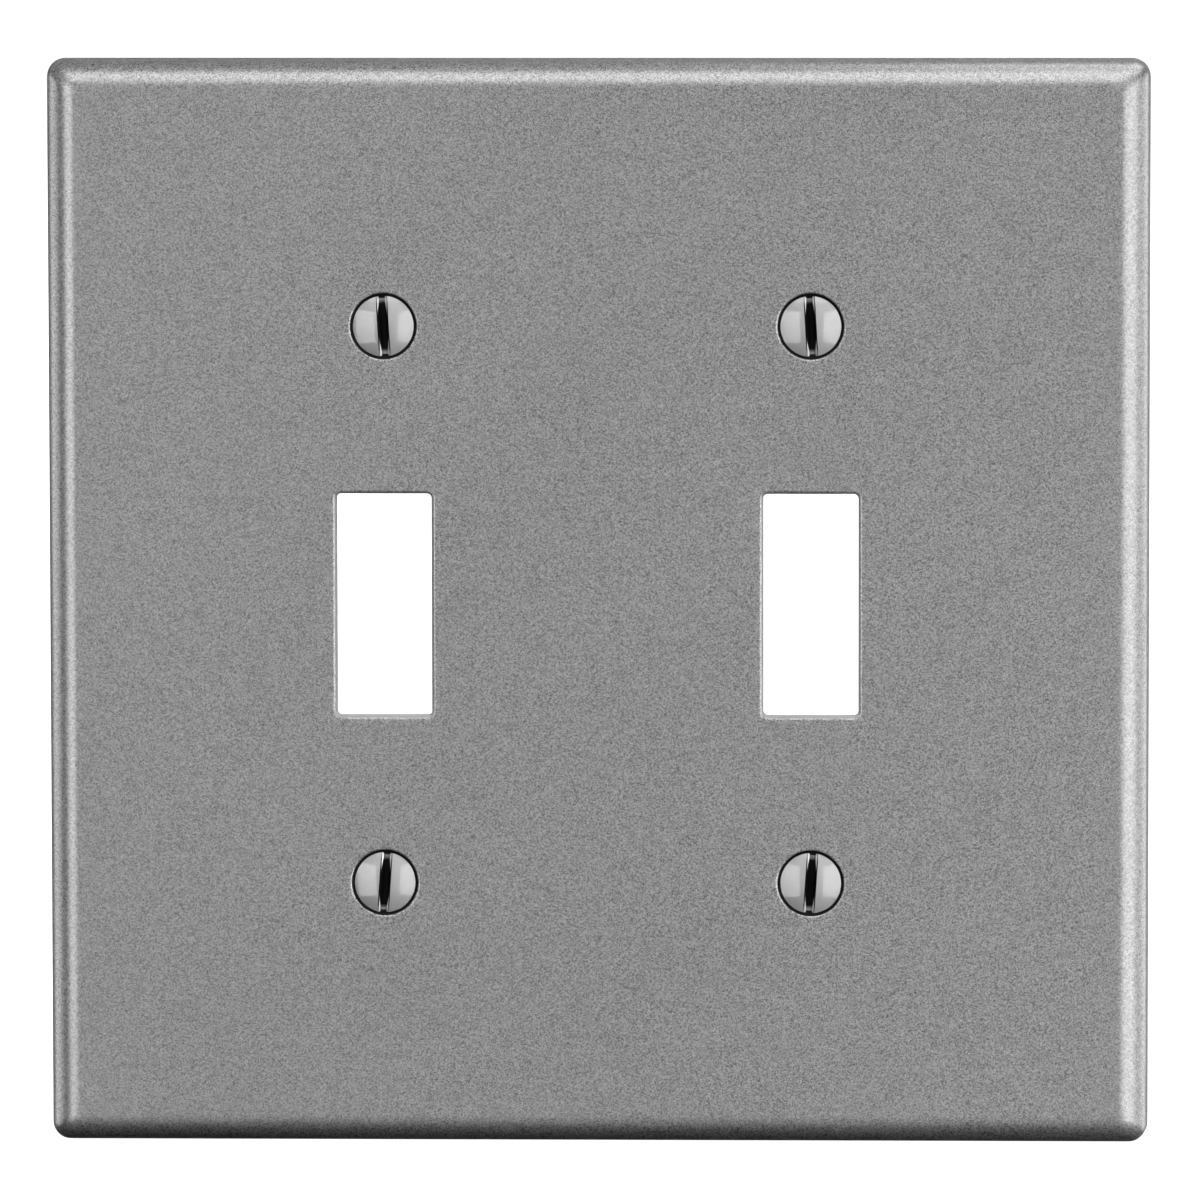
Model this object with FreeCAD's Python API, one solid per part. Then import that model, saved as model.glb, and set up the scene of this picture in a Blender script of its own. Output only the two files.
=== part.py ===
import FreeCAD, Part
import math
import os

# Two-gang wall plate for toggle switches, with its four captive screws. Millimetres.
# +X is right, +Z is up, and the front looks along -Y. The origin is the centre of the
# four-screw pattern in the wall plane, which is the plane of the plate's back rim.

# Driving dimensions of the plate
PLATE_W = 119.1             # 4.69 in
PLATE_H = 117.6             # 4.63 in
PLATE_D = 5.6               # 0.22 in, from the wall to the face
GANG_PITCH = 46.04          # 1 13/16 in between two devices in one box
SCREW_PITCH = 60.33         # 2 3/8 in between a toggle device's two tapped holes
OPENING_W = 10.25           # for one toggle
OPENING_H = 24.1
OPENING_CORNER_R = 0.5
OPENING_MOUTH_R = 0.5       # rounding where an opening meets the face

# Rolled edge of the plate
ROLL_R = 3.2                # radius of the roll from the side into the face
SIDE_DRAFT = 4.0            # degrees that the side leans inwards from the rim
RIM_CORNER_R = 2.0          # outline's corner radius at the rim
FACE_CORNER_R = 0.4         # outline's corner radius where the roll meets the face
ROLL_STEPS = 8              # sections that the roll is lofted through

# Hollow back
FACE_WALL = 2.2
RIM_WALL = 1.9
CAVITY_DRAFT = 0.25         # how far the cavity's wall leans in from rim to ceiling
CAVITY_CORNER_R = 1.0
CAVITY_FILLET_R = 0.8       # between the cavity's wall and ceiling
BOSS_R = 4.6
BOSS_REAR = 0.9             # bosses end this far in front of the wall plane
RIB_T = 1.0
RIB_H = 1.5
RIB_STOP = 1.5              # upright ribs end this far from the openings

# Screw hole: countersink, clearance bore, then the web that keeps the screw captive
SINK_MOUTH_R = 3.68
SINK_ANGLE = 82.0
SINK_EDGE_R = 0.3           # rounding where the countersink meets the face
BORE_R = 2.05
WEB_R = 1.43
WEB_T = 0.6

# Oval-head screw, 6-32 by 1/2 in
HEAD_R = 3.27
HEAD_RIM_T = 0.12
HEAD_DOME_H = 0.7
SEAT_GAP = 0.05             # clearance between the head's cone and the countersink
SCREW_L = 12.7              # from the head's rim to the tip
THREAD_R = 1.75             # plain shank at the thread's major radius
NECK_R = 1.35
NECK_PLAY = 0.3             # from the web's back to where the thread runs out
TIP_CHAMFER = 0.5
SLOT_W = 1.25
SLOT_DEPTH = 1.1            # from the top of the dome

# Each screw: name, side (-1 left, 1 right), height (-1 lower, 1 upper), and the angle
# in degrees that its slot leans from upright, clockwise from the front
SCREWS = (
    ("screw_upper_left", -1, 1, -3.3),
    ("screw_upper_right", 1, 1, -3.3),
    ("screw_lower_left", -1, -1, 3.9),
    ("screw_lower_right", 1, -1, 3.9),
)

# Worked out from the driving dimensions
FACE_Y = -PLATE_D
CEILING_Y = FACE_Y + FACE_WALL
WEB_BACK_Y = -BOSS_REAR
SINK_SLOPE = math.tan(math.radians(SINK_ANGLE / 2))     # radius lost per mm of depth
PAST = 1.0                                              # how far a cutter runs past a face

BACK = FreeCAD.Vector(0, 1, 0)


def point(x, y, z):
    return FreeCAD.Vector(x, y, z)


def rounded_rectangle(half_w, half_h, corner_r, y, x=0.0, z=0.0):
    """Closed wire in the plane at depth y, centred on x and z."""
    edges = []
    ends = []
    for side, rise, start in ((1, 1, 0), (-1, 1, 90), (-1, -1, 180), (1, -1, 270)):
        cx = x + side * (half_w - corner_r)
        cz = z + rise * (half_h - corner_r)
        arc = []
        for turn in (0, 45, 90):
            a = math.radians(start + turn)
            arc.append(point(cx + corner_r * math.cos(a), y, cz + corner_r * math.sin(a)))
        edges.append(Part.Arc(*arc).toShape())
        ends.append((arc[0], arc[-1]))
    ordered = []
    for i, arc in enumerate(edges):
        ordered.append(arc)
        ordered.append(Part.LineSegment(ends[i][1], ends[(i + 1) % 4][0]).toShape())
    return Part.Wire(ordered)


def block(half_w, half_h, corner_r, y0, y1, x=0.0, z=0.0):
    """Upright rounded-rectangle prism from depth y0 to depth y1."""
    face = Part.Face(rounded_rectangle(half_w, half_h, corner_r, y0, x, z))
    return face.extrude(BACK * (y1 - y0))


def revolved(profile, x, z):
    """Solid of revolution about the line through (x, z) along Y, from (radius, y) points."""
    points = [point(x + r, y, z) for r, y in profile]
    face = Part.Face(Part.makePolygon(points + points[:1]))
    return face.revolve(point(x, 0, z), BACK, 360)


def plate_section(inset, depth):
    """Outline of the plate where its side is inset this far and this deep below the face."""
    full = inset_at_face()
    corner_r = RIM_CORNER_R + (FACE_CORNER_R - RIM_CORNER_R) * inset / full
    return rounded_rectangle(PLATE_W / 2 - inset, PLATE_H / 2 - inset, corner_r, FACE_Y + depth)


def roll_start():
    """Inset and depth where the drafted side turns into the roll."""
    draft = math.radians(SIDE_DRAFT)
    depth = ROLL_R * (1 - math.sin(draft))
    return (PLATE_D - depth) * math.tan(draft), depth


def inset_at_face():
    return roll_start()[0] + ROLL_R * math.cos(math.radians(SIDE_DRAFT))


def plate_outside():
    """Full outer shape: a drafted side under a roll that ends flush in the face."""
    inset0, depth0 = roll_start()
    side = Part.makeLoft([plate_section(inset0, depth0), plate_section(0, PLATE_D)], True, True)
    sections = []
    for i in range(ROLL_STEPS + 1):
        t = math.radians(SIDE_DRAFT + (90 - SIDE_DRAFT) * i / ROLL_STEPS)
        inset = inset0 + ROLL_R * (math.cos(math.radians(SIDE_DRAFT)) - math.cos(t))
        sections.append(plate_section(inset, ROLL_R * (1 - math.sin(t))))
    roll = Part.makeLoft(sections, True, False)
    return side.fuse(roll)


def screw_hole(x, z):
    """Cutter: countersink from the face, clearance bore, and the hole in the web."""
    sink_depth = (SINK_MOUTH_R - BORE_R) / SINK_SLOPE
    web_front = WEB_BACK_Y - WEB_T
    over = PAST * SINK_SLOPE
    return revolved(
        [
            (0, FACE_Y - PAST),
            (SINK_MOUTH_R + over, FACE_Y - PAST),
            (BORE_R, FACE_Y + sink_depth),
            (BORE_R, web_front),
            (WEB_R, web_front),
            (WEB_R, WEB_BACK_Y + PAST),
            (0, WEB_BACK_Y + PAST),
        ],
        x,
        z,
    )


def cavity():
    """Hollow behind the face, less the bosses and ribs that stand in it."""
    half_w, half_h = PLATE_W / 2 - RIM_WALL, PLATE_H / 2 - RIM_WALL
    rim = rounded_rectangle(half_w, half_h, CAVITY_CORNER_R, 0)
    ceiling = rounded_rectangle(
        half_w - CAVITY_DRAFT, half_h - CAVITY_DRAFT, CAVITY_CORNER_R, CEILING_Y
    )
    hollow = Part.makeLoft([ceiling, rim], True, True)
    at_ceiling = [e for e in hollow.Edges if abs(e.CenterOfMass.y - CEILING_Y) < 0.01]
    hollow = hollow.makeFillet(CAVITY_FILLET_R, at_ceiling)
    over = block(half_w, half_h, CAVITY_CORNER_R, 0, PAST)
    hollow = hollow.fuse(over)

    standing = []
    start = CEILING_Y - PAST
    rib_end = OPENING_H / 2 + RIB_STOP
    rib_length = PLATE_H / 2 - rib_end
    for side in (-1, 1):
        x = side * GANG_PITCH / 2
        for rise in (-1, 1):
            base = point(x, start, rise * SCREW_PITCH / 2)
            standing.append(Part.makeCylinder(BOSS_R, WEB_BACK_Y - start, base, BACK))
            standing.append(rib(x, rise * (rib_end + rib_length / 2), RIB_T, rib_length))
    for rise in (-1, 1):
        standing.append(rib(0, rise * SCREW_PITCH / 2, PLATE_W, RIB_T))
    return hollow.cut(standing)


def rib(x, z, width, height):
    """Low straight rib on the ceiling, centred on x and z."""
    start = CEILING_Y - PAST
    corner = point(x - width / 2, start, z - height / 2)
    return Part.makeBox(width, CEILING_Y + RIB_H - start, height, corner)


def round_mouths(plate):
    """Rounds the edges where the openings and the countersinks meet the face."""
    inset = inset_at_face() + 1
    inside_w, inside_h = PLATE_W / 2 - inset, PLATE_H / 2 - inset
    openings, sinks = [], []
    for edge in plate.Edges:
        middle = edge.CenterOfMass
        if edge.BoundBox.YLength > 0.001 or abs(middle.y - FACE_Y) > 0.001:
            continue
        if abs(middle.x) > inside_w or abs(middle.z) > inside_h:
            continue
        if abs(middle.z) < OPENING_H / 2 + 1:
            openings.append(edge)
        else:
            sinks.append(edge)
    plate = plate.makeFillet(OPENING_MOUTH_R, openings)
    sinks = [
        e
        for e in plate.Edges
        if isinstance(e.Curve, Part.Circle)
        and abs(e.Curve.Radius - SINK_MOUTH_R) < 0.01
        and abs(e.CenterOfMass.y - FACE_Y) < 0.001
    ]
    return plate.makeFillet(SINK_EDGE_R, sinks)


def wall_plate():
    plate = plate_outside()
    cutters = []
    for side in (-1, 1):
        x = side * GANG_PITCH / 2
        cutters.append(
            block(OPENING_W / 2, OPENING_H / 2, OPENING_CORNER_R, FACE_Y - PAST, PAST, x)
        )
        for rise in (-1, 1):
            cutters.append(screw_hole(x, rise * SCREW_PITCH / 2))
    plate = round_mouths(plate.cut(cutters).removeSplitter())
    return plate.cut(cavity()).removeSplitter()


def screw(x, z, lean):
    """Slotted oval-head screw whose neck runs in the plate's web."""
    gap_forward = SEAT_GAP / math.sin(math.radians(SINK_ANGLE / 2))
    rim_back = FACE_Y + (SINK_MOUTH_R - HEAD_R) / SINK_SLOPE - gap_forward
    rim_front = rim_back - HEAD_RIM_T
    top = rim_front - HEAD_DOME_H
    neck_start = rim_back + (HEAD_R - NECK_R) / SINK_SLOPE
    neck_end = WEB_BACK_Y + NECK_PLAY
    tip = rim_back + SCREW_L
    dome_r = (HEAD_R**2 + HEAD_DOME_H**2) / (2 * HEAD_DOME_H)
    half = math.asin(HEAD_R / dome_r) / 2
    on_dome = point(x + dome_r * math.sin(half), top + dome_r * (1 - math.cos(half)), z)

    dome = Part.Arc(point(x, top, z), on_dome, point(x + HEAD_R, rim_front, z)).toShape()
    rest = [
        (HEAD_R, rim_front),
        (HEAD_R, rim_back),
        (NECK_R, neck_start),
        (NECK_R, neck_end),
        (THREAD_R, neck_end + THREAD_R - NECK_R),
        (THREAD_R, tip - TIP_CHAMFER),
        (THREAD_R - TIP_CHAMFER, tip),
        (0, tip),
        (0, top),
    ]
    outline = Part.makePolygon([point(x + r, y, z) for r, y in rest])
    profile = Part.Face(Part.Wire([dome] + outline.Edges))
    body = profile.revolve(point(x, 0, z), BACK, 360)

    corner = point(x - SLOT_W / 2, top - PAST, z - HEAD_R - PAST)
    slot = Part.makeBox(SLOT_W, SLOT_DEPTH + PAST, 2 * (HEAD_R + PAST), corner)
    slot.rotate(point(x, 0, z), BACK, lean)
    return body.cut(slot)


def save(shape, node):
    solids = shape.Solids
    print(node, "valid", shape.isValid(), "solids", len(solids), "mm3", round(shape.Volume, 2))
    solids[0].exportStep(f"parts/{node}.step")


os.makedirs("parts", exist_ok=True)
save(wall_plate(), "wall_plate")
for name, side, rise, lean in SCREWS:
    save(screw(side * GANG_PITCH / 2, rise * SCREW_PITCH / 2, lean), name)
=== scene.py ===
from math import cos, pi, radians, sin, tan

import bmesh
import bpy
from mathutils import Matrix, Vector


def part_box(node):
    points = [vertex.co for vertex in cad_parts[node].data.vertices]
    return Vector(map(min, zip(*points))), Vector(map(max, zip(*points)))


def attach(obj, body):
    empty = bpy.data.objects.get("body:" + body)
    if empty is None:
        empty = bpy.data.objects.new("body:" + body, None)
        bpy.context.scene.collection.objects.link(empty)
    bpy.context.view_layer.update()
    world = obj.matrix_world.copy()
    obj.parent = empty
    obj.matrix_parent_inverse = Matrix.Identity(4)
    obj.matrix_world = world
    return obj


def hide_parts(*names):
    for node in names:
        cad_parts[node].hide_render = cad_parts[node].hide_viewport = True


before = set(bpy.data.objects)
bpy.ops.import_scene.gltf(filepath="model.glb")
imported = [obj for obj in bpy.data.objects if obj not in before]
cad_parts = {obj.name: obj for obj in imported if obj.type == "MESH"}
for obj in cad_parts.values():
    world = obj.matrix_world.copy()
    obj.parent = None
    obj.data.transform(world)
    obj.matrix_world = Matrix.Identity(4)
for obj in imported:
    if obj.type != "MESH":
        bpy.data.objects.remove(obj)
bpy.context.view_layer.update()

scene = bpy.context.scene
MM = 0.001


# ---- Wall plate ----------------------------------------------------------------------------
# One injection moulding in grey nylon. The flat face rolls over into short leaning sides, and
# the back is hollow. Bosses behind the countersinks end in thin webs that keep the screws in,
# and low ribs run from boss to boss and out to the sides.

PLATE_LOW, PLATE_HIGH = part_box("wall_plate")
HALF_W = (PLATE_HIGH.x - PLATE_LOW.x) / 2
HALF_H = (PLATE_HIGH.z - PLATE_LOW.z) / 2
FACE_Y = PLATE_LOW.y
DEPTH = PLATE_HIGH.y - FACE_Y

ROLL_R = 3.2 * MM
SIDE_DRAFT = radians(4)
RIM_CORNER = 2.0 * MM           # outline's corner radius at the rim
FACE_CORNER = 0.4 * MM          # and where the roll meets the face
ROLL_STEPS = 20
CORNER_STEPS = 8
RIM_ROUND = 0.15 * MM           # the mould's parting edge, worn round by tumbling

FACE_WALL = 2.2 * MM
RIM_WALL = 1.9 * MM
CAVITY_DRAFT = 0.25 * MM
CAVITY_CORNER = 1.0 * MM
CAVITY_FILLET = 0.8 * MM
CORNER_LOSS = 0.7               # share of the cavity's corner radius that is gone at its ceiling
CEILING_Y = FACE_Y + FACE_WALL

BOSS_R = 4.6 * MM
BOSS_Y = -0.9 * MM
WEB_T = 0.6 * MM
WEB_R = 1.43 * MM
BORE_R = 2.05 * MM
RIB_T = 1.0 * MM
RIB_H = 1.5 * MM
RIB_STOP = 1.5 * MM             # upright ribs end this far from the openings
EDGE_ROUND = 0.15 * MM          # moulded edges of ribs and bosses
ROUND_MIDDLE = 0.3 * EDGE_ROUND
CREASE = 32                     # edges that turn by more degrees than this stay sharp
SUNK = 0.5 * MM                 # how far joined shapes overlap before they become one
PAST = 1.0 * MM                 # how far a cutter runs past a face

OPENING_W = 10.25 * MM
OPENING_H = 24.1 * MM
OPENING_CORNER = 0.5 * MM
OPENING_MOUTH = 0.45 * MM       # rounding where an opening meets the face
SINK_MOUTH = 3.68 * MM
SINK_HALF_ANGLE = radians(41)
SINK_EDGE = 0.3 * MM            # rounding where a countersink meets the face
MOUTH_STEPS = 4
ROUND_STEPS = 5

PIN_R = 2.4 * MM                # ejector pins leave shallow discs in the ceiling
PIN_DEEP = 0.12 * MM
PIN_AT = ((0, 0), (-43, 0), (43, 0), (0, 43), (0, -43), (-43, 43), (43, 43), (-43, -43), (43, -43))

# Each screw's CAD node, with the body it rides on and how far its slot leans, in degrees
SCREWS = {
    "screw_upper_left": ("upper_left_screw", -3.3),
    "screw_upper_right": ("upper_right_screw", -3.3),
    "screw_lower_left": ("lower_left_screw", 3.9),
    "screw_lower_right": ("lower_right_screw", 3.9),
}


def screw_centre(node):
    """Where a screw's axis meets the wall plane, as x and z."""
    low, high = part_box(node)
    return (low.x + high.x) / 2, (low.z + high.z) / 2


CENTRES = [screw_centre(node) for node in SCREWS]
GANG_X = max(x for x, z in CENTRES)
SCREW_Z = max(z for x, z in CENTRES)


def outline(bm, half_w, half_h, corner, y, x=0, z=0):
    """Edges of an upright rectangle with round corners, at depth y."""
    upright = Matrix.Translation((x, y, z)) @ Matrix.Rotation(pi / 2, 4, "X")
    sized = upright @ Matrix.Diagonal((half_w, half_h, 1, 1))
    before = set(bm.faces)
    made = bmesh.ops.create_grid(bm, x_segments=1, y_segments=1, size=1, matrix=sized)
    bmesh.ops.bevel(
        bm, geom=made["verts"], offset=corner, offset_type="OFFSET", segments=CORNER_STEPS,
        profile=0.5, affect="VERTICES", material=-1,
    )
    face = next(f for f in bm.faces if f not in before)
    ring = face.edges[:]
    bmesh.ops.delete(bm, geom=[face], context="FACES_ONLY")
    return ring


def loft(bm, rings):
    """Skin from ring to ring, closed at both ends."""
    for ring, following in zip(rings, rings[1:]):
        bmesh.ops.bridge_loops(bm, edges=ring + following)
    for ring in (rings[0], rings[-1]):
        bmesh.ops.contextual_create(bm, geom=ring)


def turned(bm, profile, x=0, z=0, steps=72):
    """Solid turned about the line along Y through x and z, from (radius, y) points."""
    verts = [bm.verts.new((x + r, y, z)) for r, y in profile]
    edges = [bm.edges.new(pair) for pair in zip(verts, verts[1:])]
    bmesh.ops.spin(
        bm, geom=verts + edges, cent=(x, 0, z), axis=(0, 1, 0), dvec=(0, 0, 0),
        angle=2 * pi, steps=steps, use_merge=True, use_normal_flip=False, use_duplicate=False,
    )
    bmesh.ops.remove_doubles(bm, verts=bm.verts, dist=1e-7)
    bmesh.ops.dissolve_degenerate(bm, dist=1e-7, edges=bm.edges)


def solid(bm, name):
    """Object from a bmesh whose shells are all closed."""
    bmesh.ops.recalc_face_normals(bm, faces=bm.faces)
    mesh = bpy.data.meshes.new(name)
    bm.to_mesh(mesh)
    bm.free()
    piece = bpy.data.objects.new(name, mesh)
    scene.collection.objects.link(piece)
    return piece


def combine(piece, tool, operation):
    """Cuts the tool out of the piece, joins it on, or keeps what they share."""
    boolean = piece.modifiers.new(operation, "BOOLEAN")
    boolean.operation = operation
    boolean.solver = "EXACT"
    boolean.object = tool
    seen = piece.evaluated_get(bpy.context.evaluated_depsgraph_get())
    mesh = bpy.data.meshes.new_from_object(seen)
    piece.modifiers.clear()
    piece.data = mesh
    bpy.data.objects.remove(tool)


def smooth(piece, crease):
    """Smooth shading up to the crease angle, with flat faces kept flat."""
    piece.data.shade_smooth()
    piece.data.set_sharp_from_angle(angle=radians(crease))
    weighted = piece.modifiers.new("flat_faces", "WEIGHTED_NORMAL")
    weighted.keep_sharp = True
    weighted.weight = 100


# Outside: rim, leaning side and roll, with the flat face closing the last ring
side_lean = tan(SIDE_DRAFT)
roll_depth = ROLL_R * (1 - sin(SIDE_DRAFT))
roll_inset = (DEPTH - roll_depth) * side_lean
face_inset = roll_inset + ROLL_R * cos(SIDE_DRAFT)


def plate_ring(bm, inset, depth):
    """Outline of the plate's outside, this far in from the rim and behind the face."""
    corner = RIM_CORNER + (FACE_CORNER - RIM_CORNER) * inset / face_inset
    return outline(bm, HALF_W - inset, HALF_H - inset, corner, FACE_Y + depth)


bm = bmesh.new()
rings = [outline(bm, HALF_W - RIM_ROUND, HALF_H - RIM_ROUND, RIM_CORNER - RIM_ROUND, 0)]
for turn in (30, 60, 90):
    a = radians(turn)
    rings.append(plate_ring(bm, RIM_ROUND * (1 - sin(a)), DEPTH - RIM_ROUND * (1 - cos(a))))
for step in range(ROLL_STEPS + 1):
    t = SIDE_DRAFT + (pi / 2 - SIDE_DRAFT) * step / ROLL_STEPS
    inset = roll_inset + ROLL_R * (cos(SIDE_DRAFT) - cos(t))
    rings.append(plate_ring(bm, inset, ROLL_R * (1 - sin(t))))
loft(bm, rings)
plate = solid(bm, "plate")

# Hollow: a drafted pocket with a fillet where its wall meets the ceiling
bm = bmesh.new()
half_w, half_h = HALF_W - RIM_WALL, HALF_H - RIM_WALL
rings = [
    outline(bm, half_w + RIM_ROUND, half_h + RIM_ROUND, CAVITY_CORNER, PAST),
    outline(bm, half_w + RIM_ROUND, half_h + RIM_ROUND, CAVITY_CORNER, 0),
    outline(bm, half_w, half_h, CAVITY_CORNER, -RIM_ROUND),
]
for step in range(ROUND_STEPS + 1):
    a = pi / 2 * step / ROUND_STEPS
    inset = CAVITY_DRAFT + CAVITY_FILLET * (1 - cos(a))
    corner = CAVITY_CORNER * (1 - CORNER_LOSS * step / ROUND_STEPS)
    y = CEILING_Y + CAVITY_FILLET * (1 - sin(a))
    rings.append(outline(bm, half_w - inset, half_h - inset, corner, y))
loft(bm, rings)
combine(plate, solid(bm, "hollow"), "DIFFERENCE")

# Ribs, each with its free edges rounded: upright ones above and below the openings, then level
rib_end = OPENING_H / 2 + RIB_STOP
rib_length = HALF_H - RIM_WALL + SUNK / 2 - rib_end
upright = [(side * GANG_X, rise * (rib_end + rib_length / 2), RIB_T, rib_length)
           for side in (-1, 1) for rise in (-1, 1)]
level = [(0, rise * SCREW_Z, 2 * (HALF_W - RIM_WALL) + SUNK, RIB_T) for rise in (-1, 1)]
for ribs in (upright, level):
    bm = bmesh.new()
    for x, z, wide, tall in ribs:
        middle = Matrix.Translation((x, CEILING_Y + (RIB_H - SUNK) / 2, z))
        size = Matrix.Diagonal((wide, RIB_H + SUNK, tall, 1))
        bmesh.ops.create_cube(bm, size=1, matrix=middle @ size)
    top = CEILING_Y + RIB_H
    free = [e for e in bm.edges if all(abs(v.co.y - top) < 1e-6 for v in e.verts)]
    bmesh.ops.bevel(
        bm, geom=free, offset=EDGE_ROUND, offset_type="OFFSET", segments=3, profile=0.5,
        affect="EDGES", material=-1,
    )
    combine(plate, solid(bm, "ribs"), "UNION")

bm = bmesh.new()
for x, z in CENTRES:
    turned(bm, [
        (0, CEILING_Y - SUNK),
        (BOSS_R, CEILING_Y - SUNK),
        (BOSS_R, BOSS_Y - EDGE_ROUND),
        (BOSS_R - ROUND_MIDDLE, BOSS_Y - ROUND_MIDDLE),
        (BOSS_R - EDGE_ROUND, BOSS_Y),
        (0, BOSS_Y),
    ], x, z)
combine(plate, solid(bm, "bosses"), "UNION")

# Toggle openings, with their mouths rounded into the face
bm = bmesh.new()
for side in (-1, 1):
    x = side * GANG_X
    rings = [outline(bm, OPENING_W / 2, OPENING_H / 2, OPENING_CORNER, PAST, x)]
    for step in range(ROUND_STEPS + 1):
        a = pi / 2 * step / ROUND_STEPS
        grow = OPENING_MOUTH * (1 - cos(a))
        rings.append(outline(bm, OPENING_W / 2 + grow, OPENING_H / 2 + grow,
                             OPENING_CORNER + grow, FACE_Y + OPENING_MOUTH * (1 - sin(a)), x))
    rings.append(outline(bm, OPENING_W / 2 + OPENING_MOUTH, OPENING_H / 2 + OPENING_MOUTH,
                         OPENING_CORNER + OPENING_MOUTH, FACE_Y - PAST, x))
    loft(bm, rings)
combine(plate, solid(bm, "openings"), "DIFFERENCE")

# Screw holes: rounded mouth, countersink, bore, and the hole in the web
bm = bmesh.new()
sink_turn = pi / 2 - SINK_HALF_ANGLE
mouth_r = SINK_MOUTH + SINK_EDGE * tan(sink_turn / 2)
mouth = [
    (mouth_r - SINK_EDGE * sin(sink_turn * step / MOUTH_STEPS),
     FACE_Y + SINK_EDGE * (1 - cos(sink_turn * step / MOUTH_STEPS)))
    for step in range(MOUTH_STEPS + 1)
]
sink_y = FACE_Y + (SINK_MOUTH - BORE_R) / tan(SINK_HALF_ANGLE)
for x, z in CENTRES:
    turned(bm, [
        (0, FACE_Y - PAST),
        (mouth_r, FACE_Y - PAST),
        *mouth,
        (BORE_R, sink_y),
        (BORE_R, BOSS_Y - WEB_T),
        (WEB_R, BOSS_Y - WEB_T),
        (WEB_R, BOSS_Y + PAST),
        (0, BOSS_Y + PAST),
    ], x, z)
combine(plate, solid(bm, "screw_holes"), "DIFFERENCE")

bm = bmesh.new()
for x, z in PIN_AT:
    turned(bm, [
        (0, CEILING_Y - PIN_DEEP),
        (PIN_R, CEILING_Y - PIN_DEEP),
        (PIN_R, CEILING_Y + PAST),
        (0, CEILING_Y + PAST),
    ], x * MM, z * MM, steps=40)
combine(plate, solid(bm, "ejector_marks"), "DIFFERENCE")
smooth(plate, CREASE)


def colour(hex_code):
    """Linear colour from an sRGB hex value."""
    parts = [int(hex_code[i:i + 2], 16) / 255 for i in (1, 3, 5)]
    return (*(p / 12.92 if p <= 0.04045 else ((p + 0.055) / 1.055) ** 2.4 for p in parts), 1)


def add(tree, kind, settings=None, links=None):
    """Adds a node. Settings name its properties or its inputs, and links its inputs to join."""
    node = tree.nodes.new(kind)
    for name, value in (settings or {}).items():
        if isinstance(name, str) and hasattr(node, name):
            setattr(node, name, value)
        else:
            node.inputs[name].default_value = value
    for name, socket in (links or {}).items():
        tree.links.new(socket, node.inputs[name])
    return node


def new_material(name):
    """Empty material: its node tree and its shader come with it."""
    material = bpy.data.materials.new(name)
    material.use_nodes = True
    tree = material.node_tree
    tree.nodes.clear()
    shader = add(tree, "ShaderNodeBsdfPrincipled")
    add(tree, "ShaderNodeOutputMaterial", links={"Surface": shader.outputs["BSDF"]})
    return material, tree, shader


# Grey nylon, moulded in a tool with a fine spark-eroded finish: an even satin with a fine grain
# that breaks up the highlights, slightly clouded where the melt cooled at different speeds.
NYLON_DARK = "#040404"
NYLON_LIGHT = "#C2C2C2"
GRAIN = 0.1 * MM                # real grain is near 0.05 mm, drawn this coarse so that it shows
GRAIN_DEEP = 0.004 * MM
CLOUD = 18 * MM
GLOSSIEST, DULLEST = 0.335, 0.355

plate_finish, tree, shader = new_material("moulded_grey_nylon")
place = add(tree, "ShaderNodeTexCoord").outputs["Object"]
grain = add(tree, "ShaderNodeTexVoronoi", {"Scale": 1 / GRAIN}, {"Vector": place})
pit = add(tree, "ShaderNodeSeparateColor", links={"Color": grain.outputs["Color"]}).outputs["Red"]
cloud = add(tree, "ShaderNodeTexNoise", {"Scale": 1 / CLOUD, "Detail": 2.0}, {"Vector": place})
tone = add(tree, "ShaderNodeMix", {
    "data_type": "RGBA", 6: colour(NYLON_DARK), 7: colour(NYLON_LIGHT)}, {0: pit})
rough = add(tree, "ShaderNodeMapRange", {
    "From Min": 0.3, "From Max": 0.7, "To Min": GLOSSIEST, "To Max": DULLEST},
    {"Value": cloud.outputs["Fac"]})
bump = add(tree, "ShaderNodeBump", {"Strength": 0.25, "Distance": GRAIN_DEEP}, {"Height": pit})
tree.links.new(tone.outputs[2], shader.inputs["Base Color"])
tree.links.new(rough.outputs["Result"], shader.inputs["Roughness"])
tree.links.new(bump.outputs["Normal"], shader.inputs["Normal"])

# The same nylon down the countersinks, painted near black: painted shade for the shadowed gap
# round each screw head, with noise mixing two near blacks.
SINK_SHADE_BLACK = "#030303"
SINK_SHADE_DARK = "#0A0A0A"
SHADE_MOTTLE = 0.6 * MM
sink_shade_finish, tree, shader = new_material("nylon_with_painted_shade_in_countersinks")
place = add(tree, "ShaderNodeTexCoord").outputs["Object"]
mottle = add(tree, "ShaderNodeTexNoise", {"Scale": 1 / SHADE_MOTTLE, "Detail": 3.0}, {"Vector": place})
tone = add(tree, "ShaderNodeMix", {
    "data_type": "RGBA", 6: colour(SINK_SHADE_BLACK), 7: colour(SINK_SHADE_DARK)},
    {0: mottle.outputs["Fac"]})
tree.links.new(tone.outputs[2], shader.inputs["Base Color"])
shader.inputs["Roughness"].default_value = 0.7
shader.inputs["Specular IOR Level"].default_value = 0.05

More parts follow.
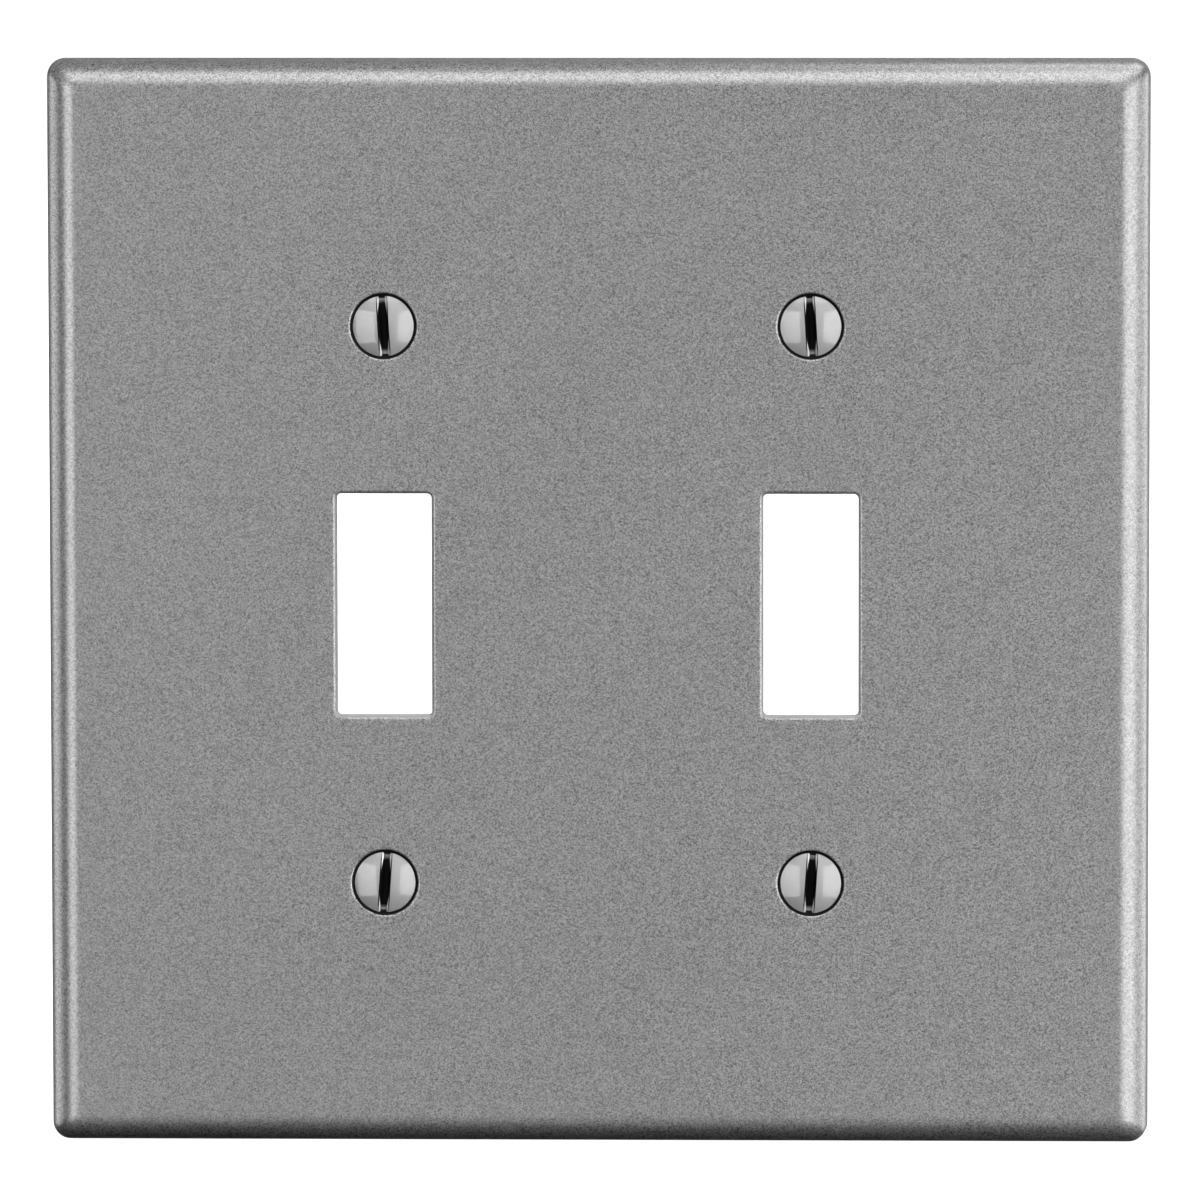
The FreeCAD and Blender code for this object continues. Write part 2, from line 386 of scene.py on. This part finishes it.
# The walls of the openings are left matt by the cores that form them, and are painted paler than
# the plate: painted light on the walls.
WALL_PAINTED_LIGHT_DIM = "#B8B8B8"
WALL_PAINTED_LIGHT_BRIGHT = "#D8D8D8"
DRAG = 0.5 * MM                 # width of the faint scuffs that the cores leave
wall_light_finish, tree, shader = new_material("matt_nylon_with_painted_light_in_the_openings")
place = add(tree, "ShaderNodeTexCoord").outputs["Object"]
drag = add(tree, "ShaderNodeTexNoise", {"Scale": 1 / DRAG, "Detail": 2.0}, {"Vector": place})
tone = add(tree, "ShaderNodeMix", {
    "data_type": "RGBA", 6: colour(WALL_PAINTED_LIGHT_DIM), 7: colour(WALL_PAINTED_LIGHT_BRIGHT)}, {0: drag.outputs["Fac"]})
tree.links.new(tone.outputs[2], shader.inputs["Base Color"])
shader.inputs["Roughness"].default_value = 0.8
shader.inputs["Specular IOR Level"].default_value = 0.05

for finish in (plate_finish, sink_shade_finish, wall_light_finish):
    plate.data.materials.append(finish)

# The first finish covers the plate, the second, with its painted shade, the countersinks, the
# third, with its painted light, the openings. A face that looks to the front or the back by more
# than these shares belongs to the plate.
SINK_FACING, OPENING_FACING = 0.9, 0.8
# Countersink faces inside this radius get the painted shade
SHADED_R = SINK_MOUTH - 0.08 * MM
NEAR_WALL = 0.3 * MM
for face in plate.data.polygons:
    middle = face.center
    across = min((middle - Vector((x, middle.y, z))).length for x, z in CENTRES)
    facing = abs(face.normal.y)
    in_sink = across < SHADED_R and middle.y < sink_y and facing < SINK_FACING
    in_opening = (facing < OPENING_FACING and abs(middle.z) < OPENING_H / 2 + NEAR_WALL
                  and abs(abs(middle.x) - GANG_X) < OPENING_W / 2 + NEAR_WALL)
    face.material_index = 1 if in_sink else 2 if in_opening else 0
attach(plate, "plate")
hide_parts("wall_plate")


# ---- Captive screws ------------------------------------------------------------------------
# Four 6-32 oval-head screws in steel, cold-headed and slotted in one blow, thread-rolled and
# blackened. Only the heads are then sprayed, to go with the plate. Each plain neck turns in the
# plate's web, which the thread is too wide to pass.

HEAD_R = 3.27 * MM
HEAD_RIM = 0.12 * MM
HEAD_DOME = 0.7 * MM
SCREW_L = 12.7 * MM
THREAD_R = 1.75 * MM
NECK_R = 1.35 * MM
NECK_END = -0.6 * MM            # depth where the thread runs out
TIP_CHAMFER = 0.5 * MM
PITCH = 25.4 / 32 * MM          # 32 threads to the inch, in the unified form
THREAD_DEEP = 0.6134 * PITCH
CREST = PITCH / 8
FLANK_ANGLE = radians(30)
TURN_STEPS = 40
CLEAR = 0.01 * MM               # too small to see, and keeps surfaces from meeting exactly
SLOT_MOUTH = 1.245 * MM         # across the slot's broken edges, which lean at 45 degrees
SLOT_THROAT = 0.66 * MM         # below them the walls close in a little, down to the floor
SLOT_FLOOR = 0.60 * MM
SLOT_DEEP = 1.1 * MM
SLOT_STEPS = 16
DOME_STEPS = 14

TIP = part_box("screw_upper_left")[1].y
RIM_BACK = TIP - SCREW_L
RIM_FRONT = RIM_BACK - HEAD_RIM
TOP = RIM_FRONT - HEAD_DOME
DOME_R = (HEAD_R**2 + HEAD_DOME**2) / (2 * HEAD_DOME)
NECK_START = RIM_BACK + (HEAD_R - NECK_R) / tan(SINK_HALF_ANGLE)


def dome_y(r):
    """Depth of the dome's surface at this distance from the screw's axis."""
    return TOP + DOME_R - (DOME_R**2 - r**2) ** 0.5


def screw_blank():
    """Headed blank with its neck, before the thread."""
    bm = bmesh.new()
    turned(bm, [
        *[(HEAD_R * step / DOME_STEPS, dome_y(HEAD_R * step / DOME_STEPS))
          for step in range(DOME_STEPS + 1)],
        (HEAD_R, RIM_BACK),
        (NECK_R, NECK_START),
        (NECK_R, NECK_END + SUNK / 2),
        (0, NECK_END + SUNK / 2),
    ], steps=96)
    return solid(bm, "screw")


def rolled_thread():
    """Right-hand thread, kept inside the shank's outline."""
    start = NECK_END - PITCH
    turns = int((TIP - start) / PITCH) + 3
    root, flank = THREAD_R - THREAD_DEEP, THREAD_DEEP * tan(FLANK_ANGLE)
    flat = PITCH - CREST - 2 * flank
    bm = bmesh.new()
    profile = ((root, 0), (root, flat), (THREAD_R, flat + flank), (THREAD_R, flat + flank + CREST),
               (root, PITCH))
    verts = [bm.verts.new((r, start - PITCH + y, 0)) for r, y in profile]
    edges = [bm.edges.new(pair) for pair in zip(verts, verts[1:])]
    bmesh.ops.spin(
        bm, geom=verts + edges, cent=(0, 0, 0), axis=(0, 1, 0),
        dvec=(0, PITCH / TURN_STEPS, 0), angle=2 * pi * turns, steps=TURN_STEPS * turns,
        use_merge=False, use_normal_flip=False, use_duplicate=False,
    )
    bmesh.ops.remove_doubles(bm, verts=bm.verts, dist=1e-6)
    for y, way in ((start, -1), (TIP + PITCH / 2, 1)):
        ends = bmesh.ops.bisect_plane(
            bm, geom=bm.verts[:] + bm.edges[:] + bm.faces[:], dist=1e-8, plane_co=(0, y, 0),
            plane_no=(0, way, 0), clear_outer=True,
        )
        ring = [e for e in ends["geom_cut"] if isinstance(e, bmesh.types.BMEdge)]
        bmesh.ops.contextual_create(bm, geom=ring)
    thread = solid(bm, "thread")
    bm = bmesh.new()
    turned(bm, [
        (0, NECK_END),
        (NECK_R - CLEAR, NECK_END),
        (THREAD_R, NECK_END + THREAD_R - NECK_R),
        (THREAD_R, TIP - TIP_CHAMFER),
        (THREAD_R - TIP_CHAMFER, TIP),
        (0, TIP),
    ])
    combine(thread, solid(bm, "shank"), "INTERSECT")
    return thread


def slot():
    """Slot cutter: broken edges that follow the dome, then nearly straight walls to the floor."""
    bm = bmesh.new()
    length = 2 * (HEAD_R + SUNK)
    bmesh.ops.create_cube(bm, size=1, matrix=Matrix.Diagonal((1, 1, length, 1)))
    along = [e for e in bm.edges if abs(e.verts[0].co.z - e.verts[1].co.z) > MM]
    bmesh.ops.subdivide_edges(bm, edges=along, cuts=SLOT_STEPS, use_grid_fill=True)
    down = [e for e in bm.edges if abs(e.verts[0].co.y - e.verts[1].co.y) > 0.5]
    bmesh.ops.subdivide_edges(bm, edges=down, cuts=1, use_grid_fill=True)
    broken = (SLOT_MOUTH - SLOT_THROAT) / 2
    # The block's back is the floor, its middle the throat, and its front opens past the dome
    for v in bm.verts:
        side = 1 if v.co.x > 0 else -1
        surface = dome_y(min(Vector((SLOT_MOUTH / 2, v.co.z)).length, HEAD_R))
        if v.co.y > 0.25:
            half, y = SLOT_FLOOR / 2, TOP + SLOT_DEEP
        elif v.co.y > -0.25:
            half, y = SLOT_THROAT / 2, surface + broken
        else:
            half, y = SLOT_MOUTH / 2 + PAST, surface - PAST
        v.co.x, v.co.y = side * half, y
    return solid(bm, "slot")


screw = screw_blank()
combine(screw, rolled_thread(), "UNION")
combine(screw, slot(), "DIFFERENCE")

# Each point keeps its place on its own screw, so that one finish serves all four
own_place = screw.data.attributes.new("own_place", "FLOAT_VECTOR", "POINT")
for v in screw.data.vertices:
    own_place.data[v.index].vector = v.co

# Enamel sprayed on a cold-headed dome: light grey and matt in itself, with a faint orange peel,
# under a thin clear coat that mirrors the white panels faintly.
ENAMEL = "#A4A4A4"
ENAMEL_PALE = "#AEAEAE"
PEEL = 0.7 * MM
PEEL_DEEP = 0.008 * MM
head_finish, tree, shader = new_material("sprayed_grey_enamel")
place = add(tree, "ShaderNodeAttribute", {"attribute_name": "own_place"}).outputs["Vector"]
peel = add(tree, "ShaderNodeTexNoise", {"Scale": 1 / PEEL, "Detail": 1.0}, {"Vector": place})
enamel = add(tree, "ShaderNodeMix", {
    "data_type": "RGBA", 6: colour(ENAMEL), 7: colour(ENAMEL_PALE)}, {0: peel.outputs["Fac"]})
bump = add(tree, "ShaderNodeBump", {"Strength": 0.2, "Distance": PEEL_DEEP},
           {"Height": peel.outputs["Fac"]})
tree.links.new(enamel.outputs[2], shader.inputs["Base Color"])
tree.links.new(bump.outputs["Normal"], shader.inputs["Normal"])
shader.inputs["Roughness"].default_value = 0.62
shader.inputs["Specular IOR Level"].default_value = 0.5
shader.inputs["Coat Weight"].default_value = 0.28
shader.inputs["Coat Roughness"].default_value = 0.07

# Inside the slot the spray has missed and the steel is black, painted near black over the middle
# as painted shade. Strips along the broken edges, bright towards both ends, are painted
# highlights, inside a thin painted shade line, and the floor is painted lighter where the slot
# runs out: painted light.
BLACK = "#020202"
SLOT_PAINTED_HIGHLIGHT = "#E6E6E6"
BRIGHT_HALF = 2.7 * MM          # the bright strips widen up to this far from the middle
CORE_ENDS, CORE_MIDDLE = 0.33 * MM, 0.57 * MM           # half of the black between them
LINE_AT = 0.50 * MM             # the dark line starts this far from the slot's middle
SOFT = 0.04 * MM
RUN_OUT_FROM, RUN_OUT_TO = 0.88 * BRIGHT_HALF, 1.08 * BRIGHT_HALF
RUN_OUT_PAINTED_LIGHT = 0.35
HIGHLIGHT_METALLIC = 0.3                # how metallic the painted highlight strips look

slot_finish, tree, shader = new_material("black_steel_slot_with_painted_light_and_shade")
place = add(tree, "ShaderNodeAttribute", {"attribute_name": "own_place"}).outputs["Vector"]
parts = add(tree, "ShaderNodeSeparateXYZ", links={"Vector": place})
side = add(tree, "ShaderNodeMath", {"operation": "ABSOLUTE"}, {0: parts.outputs["X"]}).outputs[0]
along = add(tree, "ShaderNodeMath", {"operation": "ABSOLUTE"}, {0: parts.outputs["Z"]}).outputs[0]
reach = add(tree, "ShaderNodeMath", {
    "operation": "DIVIDE", "use_clamp": True, 1: BRIGHT_HALF}, {0: along}).outputs[0]
bow = add(tree, "ShaderNodeMath", {"operation": "POWER", 1: 2.0}, {0: reach}).outputs[0]
core = add(tree, "ShaderNodeMapRange", {"To Min": CORE_MIDDLE, "To Max": CORE_ENDS},
           {"Value": bow}).outputs["Result"]
outside = add(tree, "ShaderNodeMath", {"operation": "SUBTRACT"}, {0: side, 1: core}).outputs[0]
strip = add(tree, "ShaderNodeMapRange", {
    "interpolation_type": "SMOOTHSTEP", "From Min": -SOFT, "From Max": SOFT},
    {"Value": outside}).outputs["Result"]
inside_line = add(tree, "ShaderNodeMapRange", {
    "interpolation_type": "SMOOTHSTEP", "From Min": LINE_AT - SOFT / 2,
    "From Max": LINE_AT + SOFT / 2, "To Min": 1.0, "To Max": 0.0}, {"Value": side})
bright = add(tree, "ShaderNodeMath", {"operation": "MULTIPLY"},
             {0: strip, 1: inside_line.outputs["Result"]}).outputs[0]
run_out = add(tree, "ShaderNodeMapRange", {
    "interpolation_type": "SMOOTHSTEP", "From Min": RUN_OUT_FROM, "From Max": RUN_OUT_TO,
    "To Max": RUN_OUT_PAINTED_LIGHT}, {"Value": along}).outputs["Result"]
shown = add(tree, "ShaderNodeMath", {"operation": "MAXIMUM"}, {0: bright, 1: run_out}).outputs[0]
tone = add(tree, "ShaderNodeMix", {
    "data_type": "RGBA", 6: colour(BLACK), 7: colour(SLOT_PAINTED_HIGHLIGHT)}, {0: shown})
metal = add(tree, "ShaderNodeMath", {
    "operation": "MULTIPLY", 1: HIGHLIGHT_METALLIC}, {0: shown}).outputs[0]
tree.links.new(tone.outputs[2], shader.inputs["Base Color"])
tree.links.new(metal, shader.inputs["Metallic"])
shader.inputs["Roughness"].default_value = 0.42
shader.inputs["Specular IOR Level"].default_value = 0.02

# Black oxide on the steel under the head and down the thread: oily, nearly black, with crests
# that shine a little.
OXIDE = "#101011"
OXIDE_WORN = "#2A2A2B"
shank_finish, tree, shader = new_material("black_oxide_steel")
place = add(tree, "ShaderNodeAttribute", {"attribute_name": "own_place"}).outputs["Vector"]
flat_place = add(tree, "ShaderNodeVectorMath", {"operation": "MULTIPLY", 1: (1, 0, 1)}, {0: place})
across = add(tree, "ShaderNodeVectorMath", {"operation": "LENGTH"}, {0: flat_place.outputs[0]})
crest = add(tree, "ShaderNodeMapRange", {
    "From Min": THREAD_R - 0.6 * THREAD_DEEP, "From Max": THREAD_R},
    {"Value": across.outputs["Value"]})
oil = add(tree, "ShaderNodeTexNoise", {"Scale": 1 / PEEL, "Detail": 3.0}, {"Vector": place})
tone = add(tree, "ShaderNodeMix", {
    "data_type": "RGBA", 6: colour(OXIDE), 7: colour(OXIDE_WORN)},
    {0: crest.outputs["Result"]})
rough = add(tree, "ShaderNodeMapRange", {"To Min": 0.3, "To Max": 0.5},
            {"Value": oil.outputs["Fac"]})
tree.links.new(tone.outputs[2], shader.inputs["Base Color"])
tree.links.new(rough.outputs["Result"], shader.inputs["Roughness"])
shader.inputs["Metallic"].default_value = 0.5

# The first finish covers the shank and under the head, the second the dome, the third the slot
for finish in (shank_finish, head_finish, slot_finish):
    screw.data.materials.append(finish)
for face in screw.data.polygons:
    middle = face.center
    if middle.y < TOP + SLOT_DEEP + CLEAR and abs(middle.x) < SLOT_MOUTH / 2:
        face.material_index = 2
    elif middle.y < RIM_FRONT:
        face.material_index = 1
smooth(screw, CREASE)

for node, (body, lean) in SCREWS.items():
    x, z = screw_centre(node)
    piece = screw.copy()
    piece.data = screw.data.copy()
    piece.name = piece.data.name = "captive_" + node
    piece.data.transform(Matrix.Translation((x, 0, z)) @ Matrix.Rotation(radians(lean), 4, "Y"))
    scene.collection.objects.link(piece)
    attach(piece, body)
    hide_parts(node)
bpy.data.objects.remove(screw)


# ---- Floor and backdrop --------------------------------------------------------------------
# A white shooting table lit from inside, under a white tent nearly as wide. Both stay paper
# white at every angle. They are lit for the camera alone, and throw no light on to the plate.
# The table does shade the plate from the parts of the lights that lie below it.

TABLE_HALF = 60.0
TENT_R = 55.0
TENT_HEM = -1.0                 # height of the tent's edge, below the table
bm = bmesh.new()
bmesh.ops.create_grid(bm, x_segments=4, y_segments=4, size=TABLE_HALF,
                      matrix=Matrix.Translation((0, 0, PLATE_LOW.z)))
table = solid(bm, "shooting_table")
bm = bmesh.new()
bmesh.ops.create_uvsphere(bm, u_segments=64, v_segments=32, radius=TENT_R)
bmesh.ops.bisect_plane(bm, geom=[*bm.verts, *bm.edges, *bm.faces], plane_co=(0, 0, TENT_HEM),
                       plane_no=(0, 0, 1), clear_inner=True)
tent = solid(bm, "white_tent")
lit_white, tree, shader = new_material("lit_white_acrylic")
shader.inputs["Base Color"].default_value = colour("#F4F4F4")
shader.inputs["Roughness"].default_value = 0.6
shader.inputs["Emission Color"].default_value = colour("#FFFFFF")
shader.inputs["Emission Strength"].default_value = 1.0
for white in (table, tent):
    white.data.materials.append(lit_white)
    white.visible_diffuse = white.visible_glossy = False
tent.visible_shadow = False


# ---- Studio light --------------------------------------------------------------------------
# A dim room with a soft key light above and to the right, a small one close by at the lower
# right, and weak fills at the left and behind. White panels that only the gloss shows stand in
# front, left, right, overhead, close above the right side, and to each side behind.

ROOM = "#242424"
NEAR = 1.4                      # distance of most of the panels, in metres
world = bpy.data.worlds.new("studio")
scene.world = world
world.use_nodes = True
world.node_tree.nodes["Background"].inputs["Color"].default_value = colour(ROOM)
world.node_tree.nodes["Background"].inputs["Strength"].default_value = 1.0


def panel(name, azimuth, elevation, distance, wide, tall, radiance, seen_by):
    """Rectangular light facing the plate, for its matt shading or for its gloss.

    Azimuth runs from the front to the right. All the angles are in degrees, and the width and
    the height are angles as the plate sees them.
    """
    a, e = radians(azimuth), radians(elevation)
    away = Vector((sin(a) * cos(e), -cos(a) * cos(e), sin(e)))
    light = bpy.data.lights.new(name, "AREA")
    light.shape = "RECTANGLE"
    light.size = 2 * distance * tan(radians(wide) / 2)
    light.size_y = 2 * distance * tan(radians(tall) / 2)
    light.energy = radiance * pi * light.size * light.size_y
    holder = bpy.data.objects.new(name, light)
    holder.location = away * distance
    holder.rotation_euler = away.to_track_quat("Z", "Y").to_euler()
    holder.visible_diffuse = seen_by == "matt"
    holder.visible_glossy = seen_by == "gloss"
    scene.collection.objects.link(holder)


# Each with its azimuth, elevation, distance, width, height and radiance
panel("key", 25, 48, 3.0, 50, 40, 3.4, "matt")
panel("key_low_right", 62, -14, 0.3, 22, 22, 4.4, "matt")
panel("fill_left", -72, 5, NEAR, 50, 50, 0.6, "matt")
panel("panel_front", 0, -24, NEAR, 64, 56, 1.7, "gloss")
panel("panel_left", -32, -4, NEAR, 30, 48, 16.5, "gloss")
panel("panel_right", 46, -4, NEAR, 52, 48, 14.5, "gloss")
panel("panel_top", 0, 57, NEAR, 50, 42, 11, "gloss")
panel("panel_over_right", 100, 62, 0.25, 48, 40, 7.5, "gloss")
panel("panel_behind_left", -99, -5, NEAR, 42, 40, 6.4, "gloss")
panel("panel_behind_right", 108, -5, NEAR, 64, 40, 5.0, "gloss")
panel("fill_behind", -150, 30, NEAR, 60, 40, 2.0, "matt")


# ---- Camera --------------------------------------------------------------------------------
# A long lens, square to the face but a little above it and to its right.

AZIMUTH, ELEVATION = radians(1.83), radians(5.72)
DISTANCE = 1.2645
FIELD = radians(5.872)
TILT = radians(-0.09)
AIM = Vector((0.20, -2.8, 0.31)) * MM

lens = bpy.data.cameras.new("camera")
lens.sensor_fit = "HORIZONTAL"
lens.angle = FIELD
lens.clip_start, lens.clip_end = 0.01, 200
camera = bpy.data.objects.new("camera", lens)
away = Vector((sin(AZIMUTH) * cos(ELEVATION), -cos(AZIMUTH) * cos(ELEVATION), sin(ELEVATION)))
camera.location = AIM + away * DISTANCE
level = away.to_track_quat("Z", "Y").to_matrix()
camera.rotation_euler = (level @ Matrix.Rotation(TILT, 3, "Z")).to_euler()
scene.collection.objects.link(camera)
scene.camera = camera
scene.view_settings.view_transform = "Standard"
